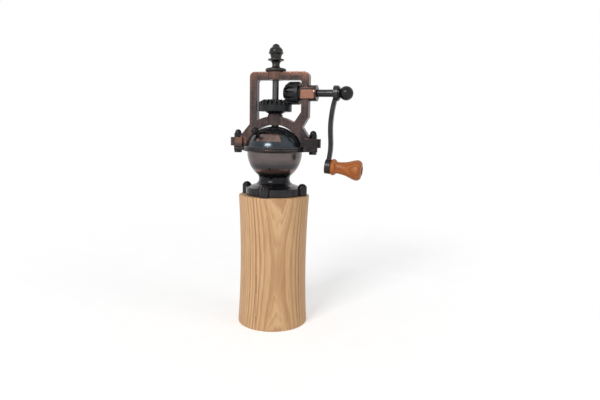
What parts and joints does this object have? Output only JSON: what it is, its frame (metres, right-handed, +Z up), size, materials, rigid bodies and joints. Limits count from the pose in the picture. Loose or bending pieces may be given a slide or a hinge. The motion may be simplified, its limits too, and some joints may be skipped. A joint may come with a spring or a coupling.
{
  "type": "poppy seed mill",
  "caption": "Hand mill on a waisted wooden body: domed hopper with sliding door, open frame, crank with bevel gears, and burrs in the base.",
  "frame": {"origin": "centre of the wooden body's flat base", "axes": "+Z up the mill's axis; +X along the crank shaft, away from the frame; -Y out of the filling window"},
  "size_m": [0.1218, 0.0634, 0.2503],
  "materials": {
    "body_wood": "satin, clear finish on light straight-grained wood",
    "knob_wood": "polished, stained orange brown",
    "bowl_metal": "antiqued, satin flange and glossy bowl",
    "dome_metal": "glossy, antiqued",
    "door_metal": "antiqued copper brown",
    "frame_metal": "antiqued bronze with copper rubbed through at the edges",
    "gear_metal": "satin, oiled",
    "dark_steel": "satin, darkened",
    "bronze_bush": "satin bronze",
    "crank_metal": "antiqued bronze with copper rubbed through",
    "finial_metal": "antiqued bronze with copper rubbed through",
    "grinder_metal": "as cast",
    "burr_steel": "hardened",
    "spring_steel": "bright"
  },
  "bodies": {
    "stand": {"wood_body": "body_wood", "hopper_bowl": "bowl_metal", "flange_screws": "dark_steel", "hopper_dome": "dome_metal", "frame_bracket": "frame_metal", "clamp_bolts": "dark_steel", "acorn_nuts": "dark_steel", "hub_bush": "bronze_bush", "door_clip": "dark_steel", "top_bush": "bronze_bush", "crank_bush": "bronze_bush", "gear_washer": "bronze_bush", "grinder_housing": "grinder_metal", "housing_screws": "dark_steel", "outer_burr": "burr_steel"},
    "door": {"filling_door": "door_metal", "door_knob": "dark_steel"},
    "crank": {"bevel_pinion": "gear_metal", "pinion_set_screw": "dark_steel", "crank_shaft": "dark_steel", "crank_arm": "crank_metal", "crank_nut": "crank_metal", "knob_pin": "dark_steel"},
    "handle": {"crank_knob": "knob_wood"},
    "drive": {"bevel_gear": "gear_metal", "burr_spring": "spring_steel"},
    "rotor": {"spindle": "dark_steel", "inner_burr": "burr_steel", "burr_nut": "dark_steel"},
    "adjuster": {"finial": "finial_metal"}
  },
  "joints": [
    {"name": "crank_turn", "type": "hinge", "parent": "stand", "child": "crank", "pos_m": [0, 0, 0.208], "axis": [1, 0, 0], "continuous": true},
    {"name": "knob_spin", "type": "hinge", "parent": "crank", "child": "handle", "pos_m": [0.0494, 0, 0.1453], "axis": [0.9954, 0, -0.0958], "continuous": true},
    {"name": "gear_spin", "type": "hinge", "parent": "stand", "child": "drive", "pos_m": [0, 0, 0.2], "axis": [0, 0, 1], "continuous": true},
    {"name": "finial_turn", "type": "hinge", "parent": "drive", "child": "adjuster", "pos_m": [0, 0, 0.2265], "axis": [0, 0, 1], "range_deg": [-541, 0]},
    {"name": "spindle_lift", "type": "slide", "parent": "drive", "child": "rotor", "axis": [0, 0, 1], "range_m": [0, 0.0012], "deforming": ["burr_spring"]},
    {"name": "door_slide", "type": "hinge", "parent": "stand", "child": "door", "pos_m": [0, 0, 0.17], "axis": [0, 0, 1], "range_deg": [0, 58]}
  ],
  "couplings": [
    {"joint": "gear_spin", "follows": "crank_turn", "ratio": 0.63636},
    {"joint": "finial_turn", "follows": "spindle_lift", "rad_per_m": -7854}
  ]
}
